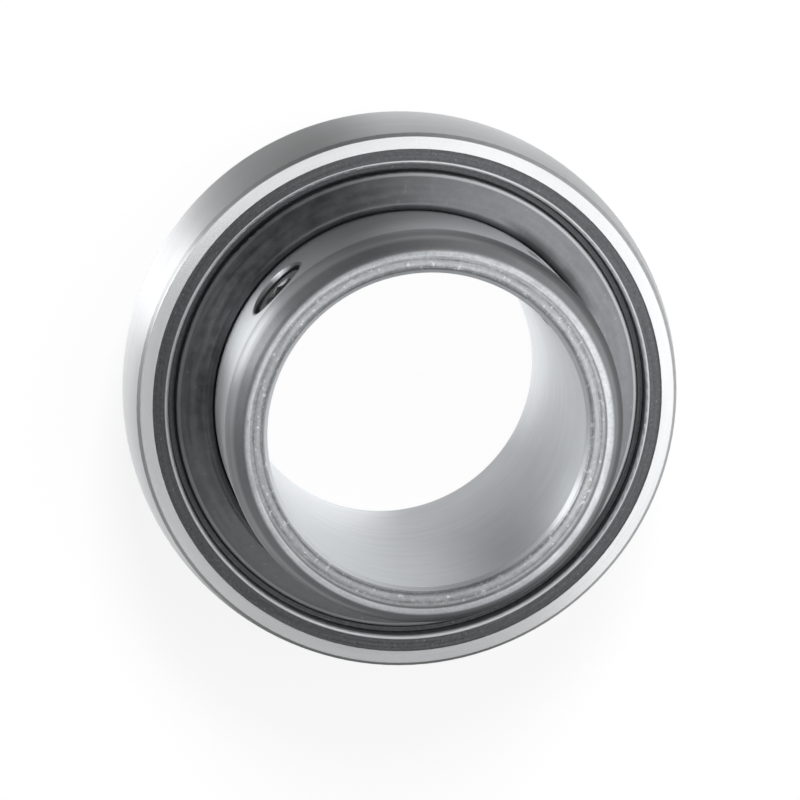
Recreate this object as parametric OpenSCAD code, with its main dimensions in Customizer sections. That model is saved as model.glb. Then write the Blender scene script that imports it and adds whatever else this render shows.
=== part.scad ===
// Insert bearing for a plummer block: a sealed deep groove ball bearing with a spherical
// outside and a long inner ring that two set screws lock to the shaft.
// +Z is the bore axis, the long end of the inner ring is up, and the origin is the centre
// of the spherical outside, which is also the centre of the plane of the balls.

/* [Rings] */
// Diameter of the shaft bore
bore_d = 50; // [48:0.1:52]
// Diameter of the spherical outside
sphere_d = 90; // [89:0.1:110]
// Width of the outer ring
outer_w = 23; // [22:0.1:28]
// Width of the inner ring, from end face to end face
inner_w = 51.6; // [48:0.1:66]
// Distance from the ball plane to the short end of the inner ring
short_end = 19; // [16.5:0.1:23]
// Height of the inner ring's shoulders over its raceway
inner_shoulder = 2.67; // [2:0.01:3.2]
// Height of the outer ring's shoulders over its raceway
outer_shoulder = 2.37; // [1.9:0.01:2.8]
// Width of the narrow bevel round the edge of the spherical outside
sphere_bevel = 0.4; // [0.2:0.05:0.8]
// Size of the 45 degree chamfer at both mouths of the bore
bore_chamfer = 0.9; // [0.5:0.05:1.2]

/* [Ring ends] */
// Width of the cone that narrows the long end, measured across the axis
cone_w = 2.7; // [2:0.05:3.2]
// Height of that cone along the axis
cone_h = 2.4; // [1.5:0.05:4]
// Radius where the cone meets the end face
cone_round = 1.8; // [0.3:0.1:2.2]
// Radius where the cone meets the outside of the ring
cone_foot_round = 2; // [0.5:0.1:3]
// Radius round the outer edge of the short end
short_end_round = 1.5; // [0.6:0.05:2.2]

/* [Balls] */
// Number of balls
ball_count = 10; // [8:1:10]
// Diameter of a ball
ball_d = 12.7; // [10.5:0.05:13.2]
// Diameter of the circle through the centres of the balls
pitch_d = 70; // [69:0.1:72]
// Radius of the raceways as a share of the ball's diameter
groove_share = 0.52; // [0.515:0.001:0.54]
// Free play between a ball and the bottom of each raceway
ball_play = 0.02; // [0.01:0.005:0.04]
// Angle of the first ball round the axis
first_ball = 9; // [0:1:35]

/* [Cage] */
// Thickness of the strip that both halves are pressed from
cage_t = 0.9; // [0.6:0.05:1]
// Width of the strip, measured across the axis
cage_w = 5.2; // [4.4:0.1:6]
// Free play between a ball and its pocket
pocket_play = 0.12; // [0.08:0.01:0.25]
// Radius of the press bend at the foot of a pocket
pocket_bend = 0.5; // [0.3:0.05:0.8]
// Diameter of a rivet's shank
rivet_d = 2; // [1.5:0.1:2.4]
// Diameter of a rivet's head
rivet_head_d = 3.4; // [2.6:0.1:3.8]
// Height of a rivet's head
rivet_head_h = 0.7; // [0.4:0.05:1]

/* [Seals] */
// Thickness of the sheet steel of the seal casings and flingers
sheet_t = 0.8; // [0.5:0.05:0.9]
// Width of the casing's visible flange in the face of the outer ring
flange_w = 2.15; // [1.7:0.05:2.4]
// Depth of that flange below the face of the outer ring
flange_sunk = 0.3; // [0.2:0.05:0.5]
// Depth of the groove that the rim of the flange snaps into
snap_depth = 0.2; // [0.1:0.05:0.3]
// Step from the shoulder of the outer ring out to the casing's seat
casing_step = 0.4; // [0.3:0.05:0.6]
// Radius inside the bend at the bottom of the casing
casing_bend = 0.3; // [0.2:0.05:0.4]
// Radius inside the bend at the casing's flange
flange_bend = 0.2; // [0.1:0.05:0.25]
// Radius round the casing's mouth, which is struck sharper than a free bend
mouth_round = 0.45; // [0.3:0.05:1]
// Free space between the cage and the casing
cage_room = 0.73; // [0.6:0.01:0.9]
// Radial width of the rubber ring from its bond to its inner face
rubber_w = 1.1; // [0.8:0.05:1.2]
// Thickness of the rubber over the sheet steel
rubber_skin = 0.35; // [0.2:0.05:0.4]
// Room between the outside of the inner ring and the casing's inner edge
casing_opening = 2.3; // [2.1:0.05:2.6]
// Running gap at the sealing lips
lip_gap = 0.1; // [0.05:0.01:0.2]
// Thickness of a lip at its root
lip_root = 0.7; // [0.5:0.05:0.9]
// Thickness of a lip at its tip
lip_tip = 0.25; // [0.15:0.05:0.4]
// Distance that the lip towards the flinger leans outwards
lip_lean = 1; // [0.5:0.1:1.5]

/* [Flingers] */
// Gap of the labyrinth between a flinger's rim and the casing
labyrinth = 1; // [0.7:0.05:1.5]
// Height of a flinger's crest over the face of the outer ring
flinger_proud = 1.2; // [0.6:0.05:2]
// Slope of the flinger's dish
flinger_slope = 28; // [20:1:32]
// Radius inside the bend between the dish and the hub
hub_bend = 0.3; // [0.2:0.05:0.8]
// Radius inside the bend at the rim
rim_bend = 0.2; // [0.1:0.05:0.5]
// Room between the seal casing and the edge of the flinger's rim
rim_room = 0.35; // [0.3:0.05:0.5]
// Room between the sealing lip and the edge of the flinger's hub
hub_room = 0.4; // [0.3:0.05:0.6]

/* [Set screws] */
// Major diameter of the thread
screw_d = 10; // [8:0.5:12]
// Distance from the long end face to the axis of the screws
screw_from_end = 10.5; // [9:0.1:12]
// Angle between the two screws
screw_spread = 90; // [60:5:120]
// Radial play of the thread in its hole
screw_play = 0.06; // [0.03:0.01:0.1]
// Depth of the screw's outer end under the crown of the ring
screw_sunk = 0.9; // [0.6:0.05:1.5]
// Distance from the bore to the screw's cup point
screw_back = 0.2; // [0.15:0.05:0.5]
// Width across the flats of the hexagon socket
hex_w = 5; // [4:0.5:6]
// Depth of the hexagon socket
hex_depth = 2.8; // [2:0.1:3]
// Size of the chamfer at both ends of the screw
screw_chamfer = 0.7; // [0.4:0.05:1]
// Diameter of the rim of the cup point
cup_d = 6; // [5:0.1:7]
// Depth of the cup
cup_depth = 0.8; // [0.5:0.1:1.2]
// Width of the countersink round each threaded hole
countersink = 0.3; // [0.2:0.05:0.6]

/* [Relubrication] */
// Diameter of each relubrication hole
lube_d = 2.4; // [1.5:0.1:2.5]
// Angle between the two holes
lube_spread = 120; // [60:5:150]
// Width of the countersink round each hole
lube_countersink = 0.5; // [0.2:0.05:0.8]

/* [Hidden] */
$fn = 96;

// Gap between pieces that are pressed or bonded together
seat_gap = 0.02;
// Length by which a cutting shape runs past the surface that it cuts
over = 1;
// Length by which the apex of a corner's round lies outside the corner
nudge = 0.2;

pitch_r = pitch_d / 2;
ball_r = ball_d / 2;
groove_r = groove_share * ball_d;
bore_r = bore_d / 2;
sphere_r = sphere_d / 2;
face_z = outer_w / 2;
long_z = inner_w - short_end;

// Radii of the raceway bottoms and of the shoulders beside them
inner_race_r = pitch_r - ball_r - ball_play;
outer_race_r = pitch_r + ball_r + ball_play;
land_r = inner_race_r + inner_shoulder;
outer_land_r = outer_race_r - outer_shoulder;

// Cage: outside of the pockets
pocket_in_r = ball_r + pocket_play;
pocket_out_r = pocket_in_r + cage_t;
// Centre of the press bend at a pocket's foot, seen from the ball's centre: the foot's cone
// starts on the line to it and ends under it, where it laps over the strip
foot_reach = pocket_out_r + pocket_bend;
foot_z = cage_t + pocket_bend;
foot_x = sqrt(pow(foot_reach, 2) - pow(foot_z, 2));
foot_lap = cage_t / 3;

// Seal casing: radii of its wall and flange, heights of its disc and flange
casing_seat_r = outer_land_r + casing_step;
wall_out_r = casing_seat_r - seat_gap;
wall_in_r = wall_out_r - sheet_t;
flange_mouth_r = outer_land_r + flange_w;
flange_groove_r = flange_mouth_r + snap_depth;
flange_top = face_z - flange_sunk;
flange_bottom = flange_top - sheet_t;
disc_bottom = pocket_out_r + cage_room;
disc_top = disc_bottom + sheet_t;
disc_in_r = land_r + casing_opening;
rubber_in_r = disc_in_r - rubber_w;
rubber_top = disc_top + rubber_skin;
rubber_bottom = disc_bottom - rubber_skin;

// Flinger: hub and rim, and the point where the hub's inside and the dish's top would cross
hub_in_r = land_r + seat_gap;
hub_out_r = hub_in_r + sheet_t;
hub_bottom = rubber_top + hub_room;
rim_out_r = wall_in_r - labyrinth;
rim_in_r = rim_out_r - sheet_t;
rim_bottom = disc_top + rim_room;
crest_z = face_z + flinger_proud;
crest_round = hub_bend + sheet_t;
apex_z = crest_z + crest_round / tan((90 - flinger_slope) / 2) - crest_round;

// Rubber ring outside of the casing's edge: its skirt and its leaning lip stay clear of the rim
rubber_out_r = min(disc_in_r + rubber_w, rim_in_r - rim_room);
lean_r = min(disc_in_r + lip_lean, rim_in_r - rim_room - lip_tip);

// Set screws
screw_z = long_z - screw_from_end;
hole_r = screw_d / 2;
screw_r = hole_r - screw_play;
screw_out = land_r - screw_sunk;
screw_in = bore_r + screw_back;
screw_angles = [0, screw_spread];

// Relubrication holes, through the shoulder between raceway and seal on the short side,
// placed evenly about the line that lies opposite the screws
lube_z = -(race_edge(outer_shoulder) + disc_bottom) / 2;
lube_middle = screw_spread / 2 + 180;
lube_angles = [lube_middle - lube_spread / 2, lube_middle + lube_spread / 2];

function race_edge(shoulder) = sqrt(pow(groove_r, 2) - pow(groove_r - shoulder, 2));
function ball_name(i) = str("ball_", i < 10 ? "0" : "", i);
function ball_angle(i) = first_ball + (i - 1) * 360 / ball_count;
function dish_top(r) = apex_z - (r - hub_in_r) * tan(flinger_slope);
function dish_under(r) = dish_top(r) - sheet_t / cos(flinger_slope);
function rivet_angle(i) = ball_angle(i) + 180 / ball_count;
function ray(angle) = [cos(angle), sin(angle)];

// The area between a corner of a profile and an arc of radius r that touches both its edges,
// which leave the corner at the angles a and b. Taken away it rounds an outer corner, and
// added it fills an inner one.
module corner(at, a, b, r) {
    half = (b - a) / 2;
    middle = ray((a + b) / 2);
    reach = r / tan(half);
    centre = at + r / sin(half) * middle;
    difference() {
        polygon([at - nudge * middle, at + reach * ray(a), centre, at + reach * ray(b)]);
        translate(centre) circle(r = r);
    }
}

// Outer ring: spherical outside, raceway, and on each side a seat for the seal casing
module casing_seat_cut() {
    polygon([
        [outer_land_r - over, face_z + over],
        [outer_land_r - over, disc_bottom],
        [casing_seat_r, disc_bottom],
        [casing_seat_r, flange_bottom - flange_bend],
        [casing_seat_r + flange_bend, flange_bottom],
        [flange_groove_r, flange_bottom],
        [flange_groove_r, flange_top],
        [flange_mouth_r, flange_top],
        [flange_mouth_r, face_z + over]
    ]);
}

module sphere_bevel_cut() {
    edge_r = sqrt(pow(sphere_r, 2) - pow(face_z, 2));
    polygon([
        [edge_r - sphere_bevel, face_z],
        [edge_r - sphere_bevel, face_z + over],
        [edge_r + over, face_z + over],
        [edge_r + over, face_z - sphere_bevel - over]
    ]);
}

module outer_ring_profile() {
    difference() {
        intersection() {
            circle(r = sphere_r, $fn = 256);
            translate([outer_land_r, -face_z]) square([sphere_r, outer_w]);
        }
        translate([outer_race_r - groove_r, 0]) circle(r = groove_r);
        for (side = [0, 1]) mirror([0, side]) {
            casing_seat_cut();
            sphere_bevel_cut();
        }
    }
}

module lube_hole() {
    sphere_here = sqrt(pow(sphere_r, 2) - pow(lube_z, 2));
    sink_h = lube_countersink + over;
    translate([0, 0, lube_z]) rotate([0, 90, 0]) {
        translate([0, 0, outer_land_r - over])
            cylinder(d = lube_d, h = sphere_r - outer_land_r + 2 * over);
        translate([0, 0, sphere_here - lube_countersink])
            cylinder(r1 = lube_d / 2, r2 = lube_d / 2 + sink_h, h = sink_h);
    }
}

module outer_ring() {
    color("gainsboro") difference() {
        rotate_extrude() outer_ring_profile();
        for (angle = lube_angles) rotate([0, 0, angle]) lube_hole();
    }
}

// Inner ring: bore, raceway, a coned long end and two threaded holes for the set screws
module inner_ring_profile() {
    cone_top = [land_r - cone_w, long_z];
    cone_foot = [land_r, long_z - cone_h];
    cone_fall = atan2(cone_h, cone_w);
    difference() {
        polygon([
            [bore_r, -short_end + bore_chamfer],
            [bore_r + bore_chamfer, -short_end],
            [land_r, -short_end],
            cone_foot,
            cone_top,
            [bore_r + bore_chamfer, long_z],
            [bore_r, long_z - bore_chamfer]
        ]);
        translate([inner_race_r + groove_r, 0]) circle(r = groove_r);
        corner(cone_top, 180, 360 - cone_fall, cone_round);
        corner(cone_foot, 180 - cone_fall, 270, cone_foot_round);
        corner([land_r, -short_end], 90, 180, short_end_round);
    }
}

module screw_hole() {
    lowest_rim = sqrt(pow(land_r, 2) - pow(hole_r, 2));
    sink_from = lowest_rim - countersink;
    sink_h = land_r + over - sink_from;
    translate([0, 0, screw_z]) rotate([0, 90, 0]) {
        translate([0, 0, bore_r - over]) cylinder(r = hole_r, h = land_r - bore_r + 2 * over);
        translate([0, 0, sink_from]) cylinder(r1 = hole_r, r2 = hole_r + sink_h, h = sink_h);
    }
}

module inner_ring() {
    color("silver") difference() {
        rotate_extrude() inner_ring_profile();
        for (angle = screw_angles) rotate([0, 0, angle]) screw_hole();
    }
}

// Balls
module ball(i) {
    color("whitesmoke") rotate([0, 0, ball_angle(i)]) translate([pitch_r, 0, 0]) sphere(r = ball_r);
}

// Cage: two halves pressed from flat strip, with a round pocket over each ball and a flat
// between pockets, where a rivet holds the halves together

// One pocket: a shell of even thickness about the ball, which is wide enough for the strip,
// on a coned foot that runs out into the flat strip
module pocket() {
    shell_w = cage_w + 2 * over;
    middle_r = pocket_in_r + cage_t / 2;
    foot = [foot_x, cage_t];
    touch = [foot_x, foot_z] * pocket_out_r / foot_reach;
    inside = touch + (touch - foot) / 2;
    rotate([0, 90, 0]) rotate_extrude() difference() {
        intersection() {
            circle(r = pocket_out_r);
            translate([0, -shell_w / 2]) square([pocket_out_r + over, shell_w]);
        }
        circle(r = pocket_in_r);
    }
    rotate_extrude() polygon([
        [middle_r, 0],
        [foot_x + foot_lap, 0],
        [foot_x + foot_lap, cage_t],
        foot,
        inside,
        [middle_r, inside.y]
    ]);
}

module at_each_ball() {
    for (i = [1:ball_count]) rotate([0, 0, ball_angle(i)]) translate([pitch_r, 0, 0]) children();
}

module at_each_rivet() {
    for (i = [1:ball_count]) rotate([0, 0, rivet_angle(i)]) translate([pitch_r, 0, 0]) children();
}

module cage_band(height) {
    rotate_extrude() translate([pitch_r - cage_w / 2, 0]) square([cage_w, height]);
}

module cage_half() {
    color("darkgray") {
        difference() {
            cage_band(cage_t);
            at_each_ball() translate([0, 0, -over]) cylinder(r = foot_x, h = cage_t + 2 * over);
            at_each_rivet() translate([0, 0, -over])
                cylinder(r = rivet_d / 2 + seat_gap, h = cage_t + 2 * over);
        }
        intersection() {
            cage_band(pocket_out_r + over);
            at_each_ball() pocket();
        }
    }
}

module rivet() {
    head_r = rivet_head_d / 2;
    dome_r = (pow(head_r, 2) + pow(rivet_head_h, 2)) / (2 * rivet_head_h);
    rotate_extrude() {
        translate([0, -cage_t]) square([rivet_d / 2, 2 * cage_t]);
        for (side = [0, 1]) mirror([0, side]) intersection() {
            translate([0, cage_t + rivet_head_h - dome_r]) circle(r = dome_r);
            translate([0, cage_t]) square([head_r + over, rivet_head_h + over]);
        }
    }
}

module cage_rivets() {
    color("silver") at_each_rivet() rivet();
}

// Seals: a pressed steel casing snapped into the outer ring, with a rubber ring bonded to
// its inner edge, which carries one lip towards the inner ring and one towards the flinger
module casing_profile() {
    flange_out_r = flange_groove_r - seat_gap;
    polygon([
        [flange_out_r, flange_top],
        [wall_in_r, flange_top],
        [wall_in_r, disc_top],
        [disc_in_r, disc_top],
        [disc_in_r, disc_bottom],
        [wall_out_r, disc_bottom],
        [wall_out_r, flange_bottom],
        [flange_out_r, flange_bottom]
    ]);
}

module seal_casing() {
    color("dimgray") rotate_extrude() {
        difference() {
            casing_profile();
            corner([wall_in_r, flange_top], 270, 360, mouth_round);
            corner([wall_out_r, disc_bottom], 90, 180, casing_bend + sheet_t);
        }
        corner([wall_out_r, flange_bottom], 270, 360, flange_bend);
        corner([wall_in_r, disc_top], 90, 180, casing_bend);
    }
}

module seal_lip() {
    root_z = disc_bottom + rubber_skin;
    tip_r = land_r + lip_gap;
    tip_gap = lip_gap / cos(flinger_slope);
    color([0.12, 0.12, 0.13]) rotate_extrude() difference() {
        union() {
            translate([rubber_in_r, rubber_bottom])
                square([rubber_out_r - rubber_in_r, rubber_top - rubber_bottom]);
            polygon([
                [disc_in_r, root_z + lip_root / 2],
                [rubber_in_r, root_z + lip_root / 2],
                [tip_r, disc_bottom + lip_tip],
                [tip_r, disc_bottom],
                [rubber_in_r, root_z - lip_root / 2],
                [disc_in_r, root_z - lip_root / 2]
            ]);
            polygon([
                [disc_in_r - lip_root / 2, disc_top],
                [disc_in_r + lip_root / 2, disc_top],
                [disc_in_r + lip_root / 2, rubber_top],
                [lean_r + lip_tip, dish_under(lean_r + lip_tip) - tip_gap],
                [lean_r, dish_under(lean_r) - tip_gap],
                [disc_in_r - lip_root / 2, rubber_top]
            ]);
        }
        translate([disc_in_r, disc_bottom]) square([rubber_w + over, sheet_t]);
    }
}

// Flingers: dished rings of sheet steel pressed on the inner ring outside the seals
module flinger() {
    apex = [hub_in_r, apex_z];
    rim_top = [rim_out_r, dish_top(rim_out_r)];
    rim_under = [rim_in_r, dish_under(rim_in_r)];
    hub_under = [hub_out_r, dish_under(hub_out_r)];
    color("gray") rotate_extrude() {
        difference() {
            polygon([
                [hub_in_r, hub_bottom],
                [hub_out_r, hub_bottom],
                hub_under,
                rim_under,
                [rim_in_r, rim_bottom],
                [rim_out_r, rim_bottom],
                rim_top,
                apex
            ]);
            corner(apex, 270, 360 - flinger_slope, crest_round);
            corner(rim_top, 180 - flinger_slope, 270, rim_bend + sheet_t);
        }
        corner(hub_under, 270, 360 - flinger_slope, hub_bend);
        corner(rim_under, 180 - flinger_slope, 270, rim_bend);
    }
}

// Set screws: short threaded plugs with a cup point inwards and a hexagon socket outwards
module set_screw(angle) {
    length = screw_out - screw_in;
    cup_r = cup_d / 2;
    point_h = screw_r - cup_r;
    socket_r = hex_w / 2 / cos(30);
    lead_in = socket_r - hex_w / 2;
    place = [screw_in, 0, screw_z];
    color([0.2, 0.2, 0.21]) rotate([0, 0, angle]) translate(place) rotate([0, 90, 0]) difference() {
        rotate_extrude() polygon([
            [0, cup_depth],
            [cup_r, 0],
            [screw_r, point_h],
            [screw_r, length - screw_chamfer],
            [screw_r - screw_chamfer, length],
            [0, length]
        ]);
        translate([0, 0, length - hex_depth]) cylinder(r = socket_r, h = hex_depth + over, $fn = 6);
        translate([0, 0, length - lead_in])
            cylinder(r1 = hex_w / 2, r2 = socket_r + over, h = lead_in + over);
    }
}

module rear() {
    mirror([0, 0, 1]) children();
}

outer_ring();
inner_ring();
for (i = [1:ball_count]) ball(i);
cage_half();  // cage_front
rear() cage_half();  // cage_rear
cage_rivets();
seal_casing();  // seal_casing_front
seal_lip();  // seal_lip_front
rear() seal_casing();  // seal_casing_rear
rear() seal_lip();  // seal_lip_rear
flinger();  // flinger_front
rear() flinger();  // flinger_rear
set_screw(screw_angles[0]);  // set_screw_a
set_screw(screw_angles[1]);  // set_screw_b
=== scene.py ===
"""Looks of the insert bearing: materials, threaded set screws, camera and studio."""
import math

import bpy
from mathutils import Matrix, Vector


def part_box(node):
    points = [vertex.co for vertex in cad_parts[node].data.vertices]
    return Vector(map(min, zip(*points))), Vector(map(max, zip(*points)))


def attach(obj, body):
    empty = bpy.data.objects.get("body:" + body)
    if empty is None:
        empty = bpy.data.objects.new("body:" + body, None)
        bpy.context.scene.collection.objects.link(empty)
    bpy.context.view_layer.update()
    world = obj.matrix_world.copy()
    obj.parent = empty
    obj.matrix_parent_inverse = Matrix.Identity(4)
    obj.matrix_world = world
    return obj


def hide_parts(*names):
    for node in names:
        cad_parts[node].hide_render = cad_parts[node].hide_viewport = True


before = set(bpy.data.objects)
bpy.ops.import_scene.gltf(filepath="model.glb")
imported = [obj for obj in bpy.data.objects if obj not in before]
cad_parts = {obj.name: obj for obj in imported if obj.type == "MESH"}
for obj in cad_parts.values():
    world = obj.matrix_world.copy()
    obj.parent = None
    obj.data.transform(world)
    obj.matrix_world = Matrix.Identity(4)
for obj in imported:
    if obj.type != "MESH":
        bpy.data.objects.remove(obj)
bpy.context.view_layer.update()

MM = 0.001

# Camera: the direction from which the photograph looks, about the row frame's axes, in degrees
VIEW_ROW_ANGLE = 75.7
VIEW_ELEVATION = 75.34
VIEW_ROLL = 146.96
VIEW_DISTANCE = 647.1 * MM
IMAGE_PX = 800
FOCAL_PX = 3975
SPHERE_CENTRE_PX = (399.52, 388.35)
SENSOR_MM = 36.0
CLIP_START, CLIP_END = 0.01, 20.0

# Sizes of the bearing in millimetres, from the frame
RING_LOW, RING_HIGH = (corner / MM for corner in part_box("inner_ring"))
OUTER_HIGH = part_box("outer_ring")[1] / MM
FLINGER_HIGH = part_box("flinger_front")[1] / MM
SCREW_LOW, SCREW_HIGH = (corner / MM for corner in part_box("set_screw_a"))
END_Z = RING_HIGH.z
FLOOR_Z = RING_LOW.z
LAND_R = RING_HIGH.x
SPHERE_R = OUTER_HIGH.x
FACE_Z = OUTER_HIGH.z
SCREW_Z = (SCREW_LOW.z + SCREW_HIGH.z) / 2
SCREW_R = (SCREW_HIGH.z - SCREW_LOW.z) / 2
SCREW_IN = SCREW_LOW.x
SCREW_LENGTH = SCREW_HIGH.x - SCREW_LOW.x

# Radii of edges that no box gives: bore, flat face of the long end, foot of its cone, seal casing's mouth
BORE_R = 25.0
FACE_R = 27.9
FOOT_R = 29.9
MOUTH_R = 38.58

# Set screws: piece, the node that it replaces, and the row angle in which it points outwards
SCREWS = (("threaded_screw_a", "set_screw_a", 0), ("threaded_screw_b", "set_screw_b", 90))
# Their thread and the shapes of both ends
PITCH = 1.25
THREAD_DEPTH = 0.68
COUNTERSINK = 0.8
CREST_SHARE = 0.12
FLANK_SHARE = 0.70
CUP_RIM_R = 3.0
CUP_DEPTH = 0.8
SCREW_CHAMFER = 0.7
HEX_W = 5.0
HEX_DEPTH = 2.8
HEX_DRILL_DEPTH = HEX_W / 8
SCREW_SIDES = 96
RINGS_PER_PITCH = 20
SHARP_ANGLE = 35

# Finish of the steel: how far its marks pull a reflection out, and the quarter turn that lays them
# round the axis
RING_PULL = 0.95
SHEET_PULL = 0.6
QUARTER_TURN = 0.25

# Where nearly all values of a noise lie
NOISE_RANGE = (0.3, 0.7)
# Painted shade on the steel. Lobes are (azimuth, half width) in degrees, with a height where it isn't 1
SHADED_SIDE = (218, 60)
SHADED_SIDE_DIMS = 0.14
BEVEL_SHADE_DIMS = 0.4
SEAL_SHADE_DIMS = 0.2
SCREW_HOLE_SHADE_DIMS = 0.8
SHADE_PATCHES = [(358, 24, 1.0), (108, 40, 0.75)]
RIM_SHADE_LOBE = (110, 42)
SHADE_GREY = 0.03
# The long end: where the turning begins, below its face; how the painted highlight on its corner leans off
# the axis at its inner and outer edge, as (row angle, millimetres); the side on which that painted
# highlight is brighter, and by how much; and the side on which the cone's foot has painted shade
TURNED_FROM = (END_Z - 4.4, END_Z - 3.6)
HIGHLIGHT_LEAN_IN = (75, 0.33)
HIGHLIGHT_LEAN_OUT = (85, 0.6)
CORNER_HIGHLIGHT_SIDE = (200, 0.15)
FOOT_SHADE_SIDE = 300
# Turned lines in its face, the last of them a painted highlight at the edge of the bore's chamfer:
# radius, half width and change of tone
FACE_LINES_AND_GLINT = ((27.3, 0.08, -0.10), (26.6, 0.15, 0.08), (26.0, 0.12, -0.15), (25.3, 0.1, 0.12))
FACE_LINE_FADE = 0.15

# What bare metal mirrors, by row angle: the floor's painted glow and the world's light, each a level, and
# on it lobes of (azimuth, half width, height)
FLOOR_UNDER_BORE = 0.8, [(195, 40, 0.7), (325, 50, 0.75), (88, 70, -0.75)]
FLOOR_NEAR = 0.8, [(12, 50, 0.12), (72, 30, -0.45), (140, 65, 0.45), (222, 48, -0.8), (345, 30, -0.3)]
FLOOR_FAR = 0.5, [(112, 18, 1.8), (150, 35, -0.4), (40, 60, -0.45), (218, 50, -0.5), (350, 35, -0.2)]
HORIZON = 0.95, [(40, 50, -0.6), (118, 32, 0.85), (235, 35, -0.2), (300, 50, 0.35)]
WINDOW = 0.02, [(328, 95, 1.45)]
CEILING = 0.38
STRIP = (112, 15)
STRIP_HEIGHT = 3.8
# Where one gives way to the next: floor radii in millimetres, elevations in degrees, a sine of elevation
BORE_EDGE = (24.0, 29.0)
FAR_EDGE = (80.0, 110.0)
HORIZON_TOP = (24, 33)
WINDOW_TOP = (54, 62)
STRIP_TOP_SINE = (0.2, 0.3)

# Floor: half its side in metres, its grey, and how much of it is pure white to the camera, which leaves
# the rest to the shadow: under the bore and around the bearing
FLOOR_HALF = 3.0
FLOOR_GREY = 0.8
WHITE_UNDER_BORE, WHITE_AROUND = 0.97, 0.85

# Lamps: place in metres or direction in degrees, size in metres, power in watts
NEAR_LAMP_AT = (0.085, -0.085, 0.34)
NEAR_LAMP_SIZE = (0.23, 0.28)
NEAR_LAMP_POWER = 0.22
SHADOW_LAMP_FROM = (43, 48)
SHADOW_LAMP_DISTANCE = 1.2
SHADOW_LAMP_SIZE = (0.35, 0.35)
SHADOW_LAMP_POWER = 14.0


def node(tree, kind, inputs=None, **settings):
    """Adds a shader node. inputs gives values or other nodes' outputs, by the socket's name or index."""
    made = tree.nodes.new("ShaderNode" + kind)
    for key, value in settings.items():
        setattr(made, key, value)
    for key, value in (inputs or {}).items():
        if isinstance(value, bpy.types.NodeSocket):
            tree.links.new(value, made.inputs[key])
        else:
            made.inputs[key].default_value = value
    return made


def maths(tree, operation, a, b=0.0, c=0.0):
    return node(tree, "Math", {0: a, 1: b, 2: c}, operation=operation).outputs[0]


def mix(tree, factor, a, b):
    return node(tree, "Mix", {0: factor, 2: a, 3: b}).outputs[0]


def mix_color(tree, factor, a, b):
    return node(tree, "Mix", {0: factor, 6: a, 7: b}, data_type="RGBA").outputs[2]


def dimmed(tree, value, mask, amount):
    """value, less the share amount of itself where mask is 1."""
    return maths(tree, "MULTIPLY", value, maths(tree, "MULTIPLY_ADD", mask, -amount, 1.0))


def ramp(tree, value, low, high, start=0.0, end=1.0):
    """value from low..high to start..end, smooth and clamped."""
    made = node(tree, "MapRange", {0: value, 1: low, 2: high, 3: start, 4: end})
    made.interpolation_type = "SMOOTHSTEP"
    return made.outputs[0]


def band(tree, value, low, high, soft):
    """1 where value lies between low and high, fading to 0 over the distance soft outside."""
    rise = ramp(tree, value, low - soft, low)
    return maths(tree, "MULTIPLY", rise, ramp(tree, value, high, high + soft, 1.0, 0.0))


def direction_of(azimuth, elevation):
    turn, rise = math.radians(azimuth), math.radians(elevation)
    return Vector((math.cos(rise) * math.cos(turn), math.cos(rise) * math.sin(turn), math.sin(rise)))


def towards(tree, around, azimuth):
    """Cosine of the angle between around, a level unit vector, and the row angle azimuth."""
    inputs = {0: around, 1: direction_of(azimuth, 0)}
    return node(tree, "VectorMath", inputs, operation="DOT_PRODUCT").outputs["Value"]


def lobe(tree, around, azimuth, half_width):
    """1 in the row angle azimuth and 0 from half_width degrees away."""
    return ramp(tree, towards(tree, around, azimuth), math.cos(math.radians(half_width)), 1.0)


def lobes(tree, around, level, parts):
    """level, and on it one lobe for each (azimuth, half width, height)."""
    total = level
    for azimuth, half_width, height in parts:
        total = maths(tree, "MULTIPLY_ADD", lobe(tree, around, azimuth, half_width), height, total)
    return total


def leaning(tree, around, value, azimuth, amount):
    """value, larger by amount in the row angle azimuth and smaller by it on the far side."""
    return maths(tree, "MULTIPLY_ADD", towards(tree, around, azimuth), amount, value)


def place(tree):
    """In the row frame, in millimetres: the point, the level unit vector towards it from the axis, its
    distance from the axis and its height."""
    point = node(tree, "TexCoord").outputs["Object"]
    point = node(tree, "VectorMath", {0: point, 3: 1 / MM}, operation="SCALE").outputs[0]
    parts = node(tree, "SeparateXYZ", {0: point}).outputs
    flat = node(tree, "CombineXYZ", {0: parts[0], 1: parts[1]}).outputs[0]
    radius = node(tree, "VectorMath", {0: flat}, operation="LENGTH").outputs["Value"]
    around = node(tree, "VectorMath", {0: flat}, operation="NORMALIZE").outputs[0]
    return point, around, radius, parts[2]


def noise(tree, vector, scale, detail=2.0, roughness=0.5):
    inputs = {"Vector": vector, "Scale": scale, "Detail": detail, "Roughness": roughness}
    return node(tree, "TexNoise", inputs).outputs["Fac"]


def turned(tree, spot, slow, fine, detail, roughness):
    """Noise along the marks of turning or grinding: slow round the axis, fine across the marks, on walls
    and faces alike. spot is what place gives."""
    around, radius, height = spot[1:]
    across = maths(tree, "MULTIPLY", maths(tree, "MULTIPLY_ADD", radius, 0.8, height), fine)
    lifted = node(tree, "CombineXYZ", {2: across}).outputs[0]
    inputs = {0: around, 1: (slow, slow, 1.0), 2: lifted}
    along = node(tree, "VectorMath", inputs, operation="MULTIPLY_ADD").outputs[0]
    return noise(tree, along, 1.0, detail, roughness)


def grinding(tree, spot):
    """Marks of grinding on both rings."""
    return turned(tree, spot, 1.5, 9.0, 3.0, 0.65)


def ground_roughness(tree, marks):
    return ramp(tree, marks, *NOISE_RANGE, 0.32, 0.40)


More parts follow.
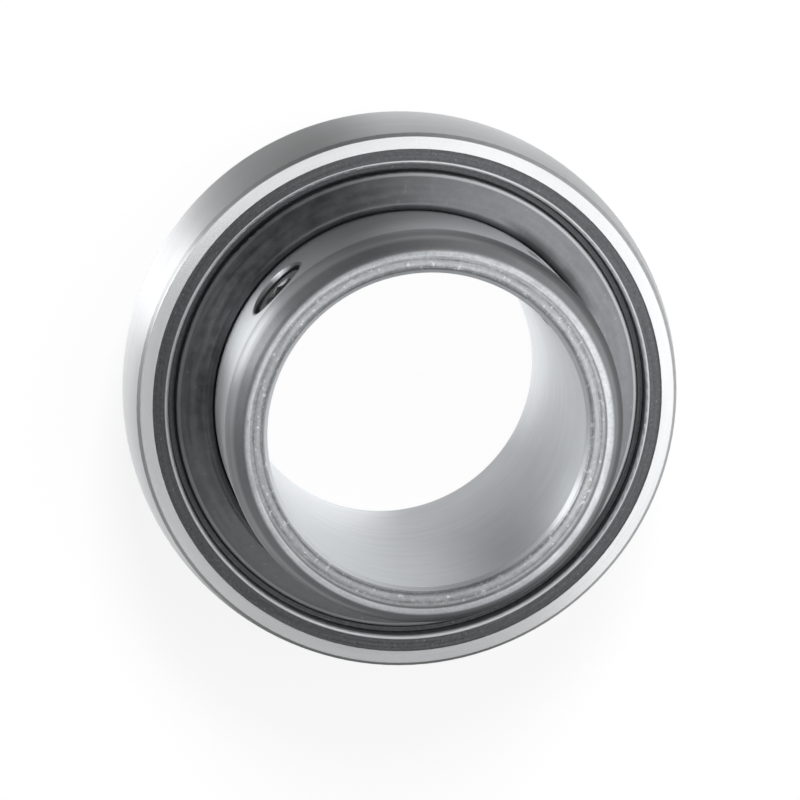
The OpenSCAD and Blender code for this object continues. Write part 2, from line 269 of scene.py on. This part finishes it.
def bump(tree, height, depth, under=None):
    """The normal of a bump of depth millimetres, on top of the normal under."""
    inputs = {"Height": height, "Distance": depth * MM, "Strength": 1.0}
    if under is not None:
        inputs["Normal"] = under
    return node(tree, "Bump", inputs).outputs[0]


def material(name):
    made = bpy.data.materials.new(name)
    made.use_nodes = True
    made.node_tree.nodes.clear()
    return made, made.node_tree


def finish_surface(tree, color, roughness, normal, pull=0.0, metallic=1.0):
    """The surface itself. Numbers that are the same everywhere are set on the shader's own sockets."""
    inputs = {"Metallic": metallic, "Base Color": color, "Roughness": roughness, "Normal": normal}
    shader = node(tree, "BsdfPrincipled", inputs)
    if pull:
        shader.inputs["Anisotropic"].default_value = pull
        shader.inputs["Anisotropic Rotation"].default_value = QUARTER_TURN
        tangent = node(tree, "Tangent", direction_type="RADIAL", axis="Z")
        tree.links.new(tangent.outputs[0], shader.inputs["Tangent"])
    node(tree, "OutputMaterial", {"Surface": shader.outputs[0]})


def grey(value, blue=0.0):
    return (value, value * (1 + blue / 2), value * (1 + blue), 1.0)


def shade(tree, value, blue=0.0):
    """A grey whose value comes from a socket."""
    inputs = {0: value, 1: maths(tree, "MULTIPLY", value, 1 + blue / 2),
              2: maths(tree, "MULTIPLY", value, 1 + blue)}
    return node(tree, "CombineColor", inputs).outputs[0]


def outer_ring_steel():
    """Ground bearing steel: fine marks round the axis, and painted shade on the bevel between sphere and
    side face and on one side of the ring."""
    made, tree = material("outer_ring_steel")
    spot = place(tree)
    around, radius, height = spot[1:]
    fine = grinding(tree, spot)
    broad = turned(tree, spot, 2.5, 0.9, 2.0, 0.5)
    tone = maths(tree, "MULTIPLY_ADD", fine, 0.09, maths(tree, "MULTIPLY_ADD", broad, 0.10, 0.615))
    level = maths(tree, "ABSOLUTE", height)
    face = ramp(tree, level, FACE_Z - 0.1, FACE_Z - 0.02)
    tone = maths(tree, "MULTIPLY_ADD", face, 0.10, tone)
    # The bevel is where radius and height together come nearest to the unbevelled edge
    slant = maths(tree, "SUBTRACT", level, maths(tree, "SUBTRACT", SPHERE_R + FACE_Z, radius))
    edge_slant = math.sqrt(SPHERE_R ** 2 - FACE_Z ** 2) - SPHERE_R
    bevel = ramp(tree, slant, edge_slant - 0.5, edge_slant - 0.36)
    # Painted shade darkens the bevel
    tone = dimmed(tree, tone, bevel, BEVEL_SHADE_DIMS)
    # Painted shade on one side of the ring
    tone = dimmed(tree, tone, lobe(tree, around, *SHADED_SIDE), SHADED_SIDE_DIMS)
    roughness = mix(tree, face, ground_roughness(tree, fine), 0.27)
    finish_surface(tree, shade(tree, tone, 0.025), roughness, bump(tree, fine, 0.004), RING_PULL)
    return made


def screw_holes(tree, point):
    """The painted shade in the two screw holes, 1 on their walls and less on their countersinks, and the
    height of their helical thread."""
    parts = node(tree, "SeparateXYZ", {0: point}).outputs
    up = maths(tree, "SUBTRACT", parts[2], SCREW_Z)
    rim_r = SCREW_R + COUNTERSINK
    shaded, thread = 0.0, 0.0
    for along, across in ((parts[0], parts[1]), (parts[1], parts[0])):
        off = node(tree, "CombineXYZ", {0: across, 1: up}).outputs[0]
        reach = node(tree, "VectorMath", {0: off}, operation="LENGTH").outputs["Value"]
        turn = maths(tree, "MULTIPLY", maths(tree, "ARCTAN2", up, across), 1 / (2 * math.pi))
        wave = maths(tree, "PINGPONG", maths(tree, "ADD", maths(tree, "DIVIDE", along, PITCH), turn), 0.5)
        outer = maths(tree, "GREATER_THAN", along, BORE_R + 0.1)
        wall = maths(tree, "MULTIPLY", maths(tree, "LESS_THAN", reach, SCREW_R + 0.1), outer)
        thread = maths(tree, "MULTIPLY_ADD", wave, wall, thread)
        mouth = maths(tree, "MULTIPLY", ramp(tree, reach, rim_r - 0.3, rim_r, 1.0, 0.0), outer)
        mouth = maths(tree, "MULTIPLY", ramp(tree, reach, SCREW_R + 0.05, SCREW_R + 0.3, 1.0, 0.6), mouth)
        shaded = maths(tree, "MAXIMUM", mouth, shaded)
    return shaded, thread


def long_end_tone(tree, spot, mottle):
    """Tone of the turned long end, and the mask of its face: a darker cone whose foot has painted shade on
    one side and painted light on the other, a painted highlight on the corner that leans a little off the
    axis, and a face with turned lines, one of them a painted highlight, and nicks."""
    point, around, radius = spot[:3]
    # Painted shade on one side of the cone's foot and painted light on the other
    foot_tone = ramp(tree, towards(tree, around, FOOT_SHADE_SIDE), -0.35, 0.4, 0.42, 0.15)
    cone_tone = maths(tree, "MULTIPLY_ADD", mottle, 0.12, 0.20)
    tone = mix(tree, ramp(tree, radius, FOOT_R, FOOT_R + 0.6), cone_tone, foot_tone)

    nicks = ramp(tree, noise(tree, point, 0.8, 4.0, 0.7), 0.58, 0.66, 0.0, 0.25)
    face_tone = maths(tree, "MULTIPLY_ADD", mottle, 0.6, maths(tree, "ADD", nicks, 0.10))
    # The last of these lines is a painted highlight at the bore's chamfer
    for line_r, half_width, change in FACE_LINES_AND_GLINT:
        line = band(tree, radius, line_r - half_width, line_r + half_width, FACE_LINE_FADE)
        face_tone = maths(tree, "MULTIPLY_ADD", line, change, face_tone)
    face = ramp(tree, radius, FACE_R - 0.2, FACE_R + 0.1, 1.0, 0.0)
    tone = mix(tree, face, tone, face_tone)

    # Painted highlight on the rounded corner, leaning off the axis and brighter on one side
    inner_edge = ramp(tree, leaning(tree, around, radius, *HIGHLIGHT_LEAN_IN), FACE_R, FACE_R + 0.25)
    outer_edge = ramp(tree, leaning(tree, around, radius, *HIGHLIGHT_LEAN_OUT), FACE_R + 0.8, FACE_R + 1.35,
                      1.0, 0.0)
    corner_highlight_tone = leaning(tree, around, maths(tree, "MULTIPLY_ADD", mottle, 0.9, 0.30), *CORNER_HIGHLIGHT_SIDE)
    return mix(tree, maths(tree, "MULTIPLY", inner_edge, outer_edge), tone, corner_highlight_tone), face


def inner_ring_steel():
    """Ground outside and bore, with painted shade by the seal and in the screw holes, and a turned long
    end.
    """
    made, tree = material("inner_ring_steel")
    spot = place(tree)
    point, _, radius, height = spot
    fine = grinding(tree, spot)
    broad = turned(tree, spot, 2.0, 0.7, 2.0, 0.5)
    rings = turned(tree, spot, 6.0, 3.2, 3.0, 0.6)
    specks = noise(tree, point, 1.8, 3.0, 0.65)
    mottle = maths(tree, "MULTIPLY_ADD", specks, 0.45, maths(tree, "MULTIPLY", rings, 0.55))

    ground = maths(tree, "MULTIPLY_ADD", fine, 0.07, maths(tree, "MULTIPLY_ADD", broad, 0.12, 0.565))
    outside = ramp(tree, radius, LAND_R - 0.1, LAND_R - 0.05)
    # Painted shade on the outside where it meets the flinger
    shade_by_seal = band(tree, height, FLINGER_HIGH.z - 0.4, FLINGER_HIGH.z, 3.0)
    ground = dimmed(tree, ground, maths(tree, "MULTIPLY", shade_by_seal, outside), SEAL_SHADE_DIMS)
    shaded, thread_height = screw_holes(tree, point)
    # Painted shade in the screw holes
    ground = dimmed(tree, ground, shaded, SCREW_HOLE_SHADE_DIMS)

    long_end = maths(tree, "MULTIPLY", ramp(tree, height, *TURNED_FROM),
                     ramp(tree, radius, BORE_R + 0.5, BORE_R + 0.6))
    end_tone, face = long_end_tone(tree, spot, mottle)
    tone = mix(tree, long_end, ground, end_tone)
    roughness = mix(tree, long_end, ground_roughness(tree, fine), mix(tree, face, 0.38, 0.28))
    marks = maths(tree, "MULTIPLY_ADD", mottle, maths(tree, "MULTIPLY", long_end, 2.0), fine)
    normal = bump(tree, thread_height, 1.0, bump(tree, marks, 0.005))
    finish_surface(tree, shade(tree, tone, 0.06), roughness, normal, RING_PULL)
    return made


def plain_steel(name, low, high, rough, grain, depth):
    """Steel without a direction: balls, cage, rivets and screws, mottled at the scale of grain."""
    made, tree = material(name)
    specks = noise(tree, place(tree)[0], grain, 4.0, 0.6)
    roughness = ramp(tree, specks, *NOISE_RANGE, rough * 0.85, rough * 1.15)
    color = mix_color(tree, ramp(tree, specks, *NOISE_RANGE), grey(low, 0.01), grey(high, 0.01))
    finish_surface(tree, color, roughness, bump(tree, specks, depth))
    return made


def flinger_shade(tree, spot):
    """How much painted shade dims the flinger: by its inner edge next to the ring, in two patches and along
    one side of its rim. What shows of the seal casing lies further out and has none."""
    point, around, radius = spot[:3]
    shade_patch = maths(tree, "MULTIPLY", lobes(tree, around, 0.0, SHADE_PATCHES),
                  ramp(tree, radius, LAND_R + 1.3, LAND_R + 2.8, 1.0, 0.0))
    shade_patch = maths(tree, "MULTIPLY", shade_patch, ramp(tree, noise(tree, point, 0.15), 0.3, 0.6, 0.4, 0.75))
    shade_by_ring = ramp(tree, radius, LAND_R + 0.6, LAND_R + 2.0, 0.3, 0.0)
    rim_shade = maths(tree, "MULTIPLY", lobe(tree, around, *RIM_SHADE_LOBE),
                 ramp(tree, radius, FLINGER_HIGH.x - 0.8, FLINGER_HIGH.x, 0.3, 0.0))
    return maths(tree, "MAXIMUM", maths(tree, "MAXIMUM", shade_patch, shade_by_ring), rim_shade)


def pressed_steel(name, low, high, rough, grain, depth, wear, edge, edge_highlight):
    """Dark pressed sheet: mottled tone, faint drawing marks round the axis, small bright rubs, painted
    shade, and a painted highlight along an edge. edge gives its lowest and highest radius and its fade."""
    made, tree = material(name)
    spot = place(tree)
    point, _, radius, _ = spot
    specks = noise(tree, point, grain, 4.0, 0.65)
    marks = turned(tree, spot, 3.0, 4.0, 2.0, 0.5)
    tone = maths(tree, "MULTIPLY_ADD", specks, 0.5, maths(tree, "MULTIPLY", marks, 0.5))
    rubs = ramp(tree, noise(tree, point, grain * 1.7, 3.0, 0.6), 0.64, 0.72, 0.0, wear)
    color = mix_color(tree, ramp(tree, tone, 0.32, 0.68), grey(low, 0.08), grey(high, 0.08))
    # Real bright rubs, and a painted highlight along the edge
    bright = maths(tree, "MAXIMUM", rubs, maths(tree, "MULTIPLY", band(tree, radius, *edge), edge_highlight))
    color = mix_color(tree, bright, color, grey(0.75, 0.03))
    # Painted shade near the flinger's ring and rim; none reaches the casing
    color = mix_color(tree, flinger_shade(tree, spot), color, grey(SHADE_GREY))
    roughness = ramp(tree, tone, *NOISE_RANGE, rough - 0.05, rough + 0.07)
    finish_surface(tree, color, roughness, bump(tree, tone, depth), SHEET_PULL)
    return made


def seal_rubber():
    made, tree = material("seal_rubber")
    specks = noise(tree, place(tree)[0], 9.0, 4.0, 0.6)
    color = mix_color(tree, specks, grey(0.012), grey(0.03))
    roughness = ramp(tree, specks, *NOISE_RANGE, 0.45, 0.65)
    finish_surface(tree, color, roughness, bump(tree, specks, 0.02), metallic=0.0)
    return made


def dress(names, made):
    for name in names:
        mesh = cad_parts[name].data
        mesh.materials.clear()
        mesh.materials.append(made)


def dress_nodes():
    """Gives each CAD node its material. low and high are greys, rough the roughness, grain the scale of
    the mottling, depth that of the bump in millimetres."""
    dress(["outer_ring"], outer_ring_steel())
    dress(["inner_ring"], inner_ring_steel())
    dress([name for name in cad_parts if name.startswith("ball_")],
          plain_steel("ball_steel", low=0.70, high=0.76, rough=0.10, grain=0.6, depth=0.0005))
    dress(["cage_front", "cage_rear"],
          plain_steel("cage_steel", low=0.42, high=0.55, rough=0.36, grain=1.2, depth=0.008))
    dress(["cage_rivets"],
          plain_steel("rivet_steel", low=0.50, high=0.62, rough=0.28, grain=2.0, depth=0.004))
    # The casing's mouth and the flinger's rim carry a painted highlight
    dress(["seal_casing_front", "seal_casing_rear"],
          pressed_steel("casing_steel", low=0.095, high=0.165, rough=0.40, grain=1.6, depth=0.012, wear=0.3,
                        edge=(MOUTH_R + 0.1, MOUTH_R + 0.5, 0.2), edge_highlight=0.95))
    dress(["seal_lip_front", "seal_lip_rear"], seal_rubber())
    dress(["flinger_front", "flinger_rear"],
          pressed_steel("flinger_steel", low=0.19, high=0.25, rough=0.32, grain=0.5, depth=0.004, wear=0.12,
                        edge=(FLINGER_HIGH.x - 0.8, FLINGER_HIGH.x - 0.5, 0.25), edge_highlight=0.5))


def add_object(name, data):
    made = bpy.data.objects.new(name, data)
    bpy.context.scene.collection.objects.link(made)
    return made


def thread_radius(turn, along):
    """Radius of the thread's surface at a share of a turn and a distance along the screw."""
    phase = (along / PITCH - turn) % 1.0
    flank = abs(2 * phase - 1)
    flank = min(max((flank - CREST_SHARE) / FLANK_SHARE, 0.0), 1.0)
    return SCREW_R - THREAD_DEPTH * flank


def screw_rings():
    """Rings of the screw's surface from the cup to the socket: (radius, distance along) at each side."""
    turns = [side / SCREW_SIDES for side in range(SCREW_SIDES)]
    corner_r = HEX_W / 2 / math.cos(math.pi / 6)
    hexagon = [HEX_W / 2 / math.cos((6 * turn % 1.0 - 0.5) * math.pi / 3) for turn in turns]
    steps = round(SCREW_LENGTH / PITCH * RINGS_PER_PITCH)
    rings = []
    for step in range(steps + 1):
        along = SCREW_LENGTH * step / steps
        point_r = CUP_RIM_R + along
        end_r = SCREW_R - SCREW_CHAMFER + (SCREW_LENGTH - along)
        rings.append([(min(thread_radius(turn, along), point_r, end_r), along) for turn in turns])
    rings.append([(corner_r, SCREW_LENGTH)] * SCREW_SIDES)
    rings.append([(reach, SCREW_LENGTH - corner_r + reach) for reach in hexagon])
    rings.append([(reach, SCREW_LENGTH - HEX_DEPTH) for reach in hexagon])
    return rings


def threaded_screw(name, node_name, turn_axis):
    """A set screw with its real thread, cup point and hexagon socket, in the place of the plain CAD one."""
    rings = screw_rings()
    socket_end = SCREW_LENGTH - HEX_DEPTH - HEX_DRILL_DEPTH
    verts = [(0.0, 0.0, CUP_DEPTH), (0.0, 0.0, socket_end)]
    for ring in rings:
        for side, (reach, along) in enumerate(ring):
            turn = 2 * math.pi * side / SCREW_SIDES
            verts.append((reach * math.cos(turn), reach * math.sin(turn), along))
    faces = []
    last = 2 + (len(rings) - 1) * SCREW_SIDES
    for side in range(SCREW_SIDES):
        following = (side + 1) % SCREW_SIDES
        faces.append((0, 2 + following, 2 + side))
        faces.append((1, last + side, last + following))
        for ring in range(len(rings) - 1):
            low, high = 2 + ring * SCREW_SIDES, 2 + (ring + 1) * SCREW_SIDES
            faces.append((low + side, low + following, high + following, high + side))
    mesh = bpy.data.meshes.new(name)
    mesh.from_pydata(verts, [], faces)
    outwards = Matrix.Rotation(math.radians(turn_axis), 4, "Z") @ Matrix.Rotation(math.radians(90), 4, "Y")
    shift = Matrix.Translation((0.0, 0.0, SCREW_Z)) @ outwards @ Matrix.Translation((0.0, 0.0, SCREW_IN))
    mesh.transform(Matrix.Scale(MM, 4) @ shift)
    mesh.shade_smooth()
    mesh.set_sharp_from_angle(angle=math.radians(SHARP_ANGLE))
    piece = add_object(name, mesh)
    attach(piece, node_name)
    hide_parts(node_name)
    return piece


def make_screws():
    steel = plain_steel("screw_steel", low=0.20, high=0.32, rough=0.50, grain=2.5, depth=0.01)
    for name, node_name, turn_axis in SCREWS:
        threaded_screw(name, node_name, turn_axis).data.materials.append(steel)


def make_camera():
    """A camera that looks along the photograph's direction, with its roll, aimed a little off centre."""
    roll = math.radians(VIEW_ROLL)
    back = direction_of(VIEW_ROW_ANGLE, VIEW_ELEVATION)
    level = direction_of(VIEW_ROW_ANGLE + 90, 0)
    above = back.cross(level)
    right = level * math.cos(roll) + above * math.sin(roll)
    up = back.cross(right)
    data = bpy.data.cameras.new("camera")
    data.sensor_width = SENSOR_MM
    data.lens = SENSOR_MM * FOCAL_PX / IMAGE_PX
    data.clip_start, data.clip_end = CLIP_START, CLIP_END
    camera = add_object("camera", data)
    metres_per_px = VIEW_DISTANCE / FOCAL_PX
    aside = (IMAGE_PX / 2 - SPHERE_CENTRE_PX[0]) * metres_per_px
    below = (SPHERE_CENTRE_PX[1] - IMAGE_PX / 2) * metres_per_px
    location = back * VIEW_DISTANCE + right * aside + up * below
    camera.matrix_world = Matrix.Translation(location) @ Matrix((right, up, back)).transposed().to_4x4()
    bpy.context.scene.camera = camera


def make_floor():
    """A pale floor, white to the camera, that keeps a soft shadow. To glossy rays it glows, with painted
    light and shade by row angle.
    """
    half, height = FLOOR_HALF, FLOOR_Z * MM
    corners = [(-half, -half, height), (half, -half, height), (half, half, height), (-half, half, height)]
    mesh = bpy.data.meshes.new("floor")
    mesh.from_pydata(corners, [], [(0, 1, 2, 3)])
    floor = add_object("floor", mesh)
    made, tree = material("floor_pale")
    around, radius = place(tree)[1:3]
    path = node(tree, "LightPath").outputs
    under_bore = lobes(tree, around, *FLOOR_UNDER_BORE)
    near = lobes(tree, around, *FLOOR_NEAR)
    far = lobes(tree, around, *FLOOR_FAR)
    painted_glow = mix(tree, ramp(tree, radius, *BORE_EDGE), under_bore, near)
    painted_glow = mix(tree, ramp(tree, radius, *FAR_EDGE), painted_glow, far)
    in_metal = node(tree, "Emission", {"Color": grey(1.0), "Strength": painted_glow})
    white = node(tree, "Emission", {"Color": grey(1.0), "Strength": 1.0})
    diffuse = node(tree, "BsdfDiffuse", {"Color": grey(FLOOR_GREY, 0.01)})
    share = maths(tree, "MULTIPLY", path["Is Camera Ray"],
                  ramp(tree, radius, *BORE_EDGE, WHITE_UNDER_BORE, WHITE_AROUND))
    plain = node(tree, "MixShader", {0: share, 1: diffuse.outputs[0], 2: white.outputs[0]})
    glossy = maths(tree, "MAXIMUM", path["Is Glossy Ray"], path["Is Transmission Ray"])
    mixed = node(tree, "MixShader", {0: glossy, 1: plain.outputs[0], 2: in_metal.outputs[0]})
    node(tree, "OutputMaterial", {"Surface": mixed.outputs[0]})
    mesh.materials.append(made)


def make_world():
    """Soft light from above, from a wide window and from the horizon; white where the camera sees it."""
    world = bpy.data.worlds.new("studio")
    world.use_nodes = True
    tree = world.node_tree
    tree.nodes.clear()
    outwards = node(tree, "TexCoord").outputs["Generated"]
    parts = node(tree, "SeparateXYZ", {0: outwards}).outputs
    level = node(tree, "CombineXYZ", {0: parts[0], 1: parts[1]}).outputs[0]
    around = node(tree, "VectorMath", {0: level}, operation="NORMALIZE").outputs[0]
    rise = parts[2]

    def above(low, high):
        return ramp(tree, rise, math.sin(math.radians(low)), math.sin(math.radians(high)))

    horizon = lobes(tree, around, *HORIZON)
    window = lobes(tree, around, *WINDOW)
    strength = mix(tree, above(*HORIZON_TOP), horizon, window)
    strip_top = ramp(tree, rise, *STRIP_TOP_SINE, STRIP_HEIGHT, 0.0)
    strip = maths(tree, "MULTIPLY", lobe(tree, around, *STRIP), strip_top)
    strength = maths(tree, "ADD", strength, strip)
    strength = mix(tree, above(*WINDOW_TOP), strength, CEILING)
    seen = node(tree, "LightPath").outputs["Is Camera Ray"]
    strength = mix(tree, seen, strength, 1.0)
    background = node(tree, "Background", {"Color": grey(1.0), "Strength": strength})
    node(tree, "OutputWorld", {"Surface": background.outputs[0]})
    bpy.context.scene.world = world


def area_light(name, centre, direction, size, power):
    """A soft rectangular lamp at centre that shines against direction."""
    data = bpy.data.lights.new(name, "AREA")
    data.shape = "RECTANGLE"
    data.size, data.size_y = size
    data.energy = power
    lamp = add_object(name, data)
    lamp.location = centre
    lamp.rotation_mode = "QUATERNION"
    lamp.rotation_quaternion = direction.to_track_quat("Z", "Y")
    lamp.visible_camera = False
    return lamp


def make_lamps():
    """A small soft box above the bearing, and a wide lamp for the shadow, which metal doesn't mirror."""
    area_light("lamp_near", NEAR_LAMP_AT, Vector((0, 0, 1)), NEAR_LAMP_SIZE, NEAR_LAMP_POWER)
    outwards = direction_of(*SHADOW_LAMP_FROM)
    shadow = area_light("lamp_shadow", outwards * SHADOW_LAMP_DISTANCE, outwards, SHADOW_LAMP_SIZE,
                        SHADOW_LAMP_POWER)
    shadow.visible_glossy = False


bpy.context.scene.view_settings.view_transform = "Standard"
make_camera()
dress_nodes()
make_screws()
make_floor()
make_world()
make_lamps()
